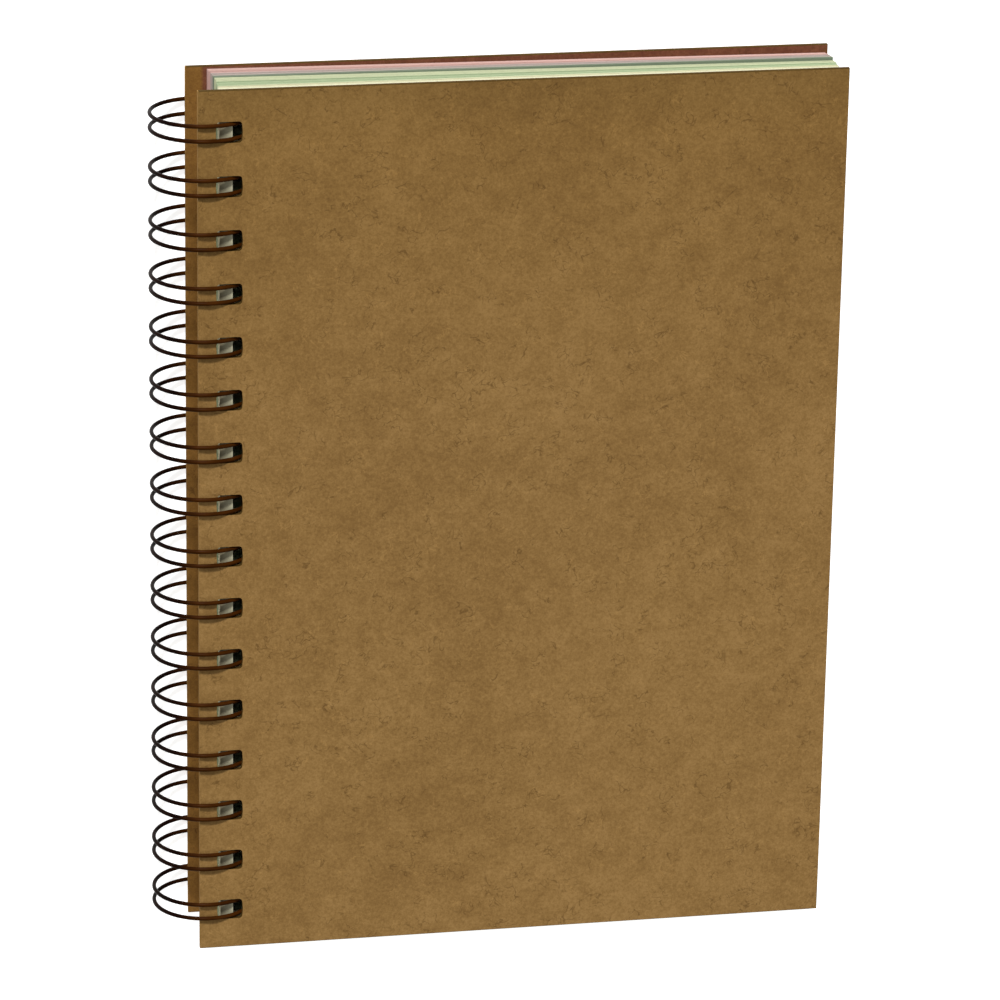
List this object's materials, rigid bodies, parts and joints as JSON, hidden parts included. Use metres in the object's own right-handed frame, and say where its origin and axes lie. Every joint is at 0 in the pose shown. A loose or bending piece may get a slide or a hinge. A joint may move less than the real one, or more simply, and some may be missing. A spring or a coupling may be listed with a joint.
{
  "type": "sketchbook",
  "caption": "Wire-bound sketchbook with kraft board covers and a block of pastel sheets turning on a twin-loop wire.",
  "frame": {"origin": "centre of the back cover's outer face", "axes": "+X from the spine to the fore edge, +Y from the foot to the head, +Z from the back cover to the front cover"},
  "size_m": [0.1598, 0.21, 0.0246],
  "materials": {
    "kraft_board": "matte brown kraft board",
    "pink_paper": "matte uncoated paper",
    "blue_paper": "matte uncoated paper",
    "yellow_paper": "matte uncoated paper",
    "mint_paper": "matte uncoated paper",
    "cream_paper": "matte uncoated paper",
    "coated_wire": "satin dark brown nylon coating on steel wire"
  },
  "bodies": {
    "back_cover": {"back_cover": "kraft_board"},
    "pink_section": {"pink_sheets_1": "pink_paper", "pink_sheets_2": "pink_paper", "pink_sheets_3": "pink_paper", "pink_sheets_4": "pink_paper"},
    "blue_section": {"blue_sheets_1": "blue_paper", "blue_sheets_2": "blue_paper", "blue_sheets_3": "blue_paper", "blue_sheets_4": "blue_paper"},
    "yellow_section": {"yellow_sheets_1": "yellow_paper", "yellow_sheets_2": "yellow_paper", "yellow_sheets_3": "yellow_paper", "yellow_sheets_4": "yellow_paper"},
    "mint_section": {"mint_sheets_1": "mint_paper", "mint_sheets_2": "mint_paper", "mint_sheets_3": "mint_paper", "mint_sheets_4": "mint_paper"},
    "cream_section": {"cream_sheets_1": "cream_paper", "cream_sheets_2": "cream_paper", "cream_sheets_3": "cream_paper", "cream_sheets_4": "cream_paper"},
    "front_cover": {"front_cover": "kraft_board"},
    "binding": {"binding_wire": "coated_wire"}
  },
  "joints": [
    {"name": "front_cover_turn", "type": "hinge", "parent": "cream_section", "child": "front_cover", "pos_m": [-0.0726, 0, 0.011], "axis": [0, -1, 0], "range_deg": [0, 150]},
    {"name": "cream_turn", "type": "hinge", "parent": "mint_section", "child": "cream_section", "pos_m": [-0.0726, 0, 0.011], "axis": [0, 1, 0], "range_deg": [-30, 0]},
    {"name": "mint_turn", "type": "hinge", "parent": "yellow_section", "child": "mint_section", "pos_m": [-0.0726, 0, 0.011], "axis": [0, 1, 0], "range_deg": [-30, 0]},
    {"name": "yellow_turn", "type": "hinge", "parent": "blue_section", "child": "yellow_section", "pos_m": [-0.0726, 0, 0.011], "axis": [0, 1, 0], "range_deg": [-30, 0]},
    {"name": "blue_turn", "type": "hinge", "parent": "pink_section", "child": "blue_section", "pos_m": [-0.0726, 0, 0.011], "axis": [0, 1, 0], "range_deg": [-30, 0]},
    {"name": "pink_turn", "type": "hinge", "parent": "back_cover", "child": "pink_section", "pos_m": [-0.0726, 0, 0.011], "axis": [0, 1, 0], "range_deg": [-30, 0]},
    {"name": "binding_spin", "type": "hinge", "parent": "back_cover", "child": "binding", "pos_m": [-0.0726, 0, 0.011], "axis": [0, 1, 0], "range_deg": [-8, 8]}
  ]
}
